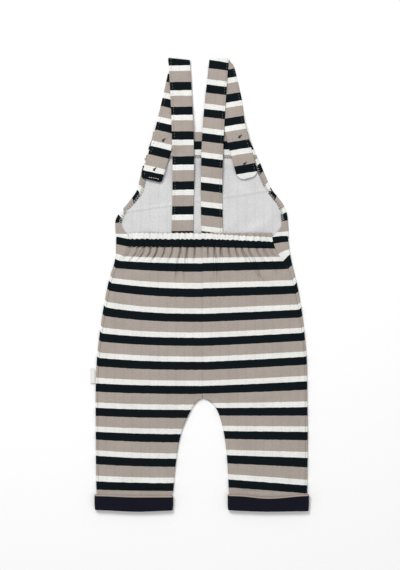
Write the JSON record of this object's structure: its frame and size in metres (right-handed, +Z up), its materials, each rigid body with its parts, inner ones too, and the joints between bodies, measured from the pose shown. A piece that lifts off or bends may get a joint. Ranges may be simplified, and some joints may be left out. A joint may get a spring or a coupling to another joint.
{
  "type": "kids bib overalls",
  "caption": "Child's bib overalls in striped jersey laid flat with the back up: elastic gathered back waist, folded straps buttoned to the bib, turned-up cuffs.",
  "frame": {"origin": "middle of the laid-out outline, on the surface that the overalls lie on", "axes": "+Y from the leg hems to the fold of the straps, +Z up from the surface, out of the garment's back, +X to the right in the picture"},
  "size_m": [0.2618, 0.5458, 0.0109],
  "materials": {
    "striped_jersey": "printed cotton jersey in black, taupe and white stripes, pale inside",
    "navy_jersey": "plain navy cotton jersey",
    "button_resin": "turned resin button with a dished middle, its thread holes left out",
    "label_tape": "woven white tape, bare"
  },
  "bodies": {
    "root": {"bib": "striped_jersey", "front_left": "striped_jersey", "front_right": "striped_jersey", "back_left": "striped_jersey", "back_right": "striped_jersey", "back_waistband": "striped_jersey", "strap_left": "striped_jersey", "strap_right": "striped_jersey", "cuff_left": "navy_jersey", "cuff_right": "navy_jersey", "button_left": "button_resin", "button_right": "button_resin", "spare_button_left": "button_resin", "spare_button_right": "button_resin", "side_label": "label_tape"}
  },
  "joints": []
}
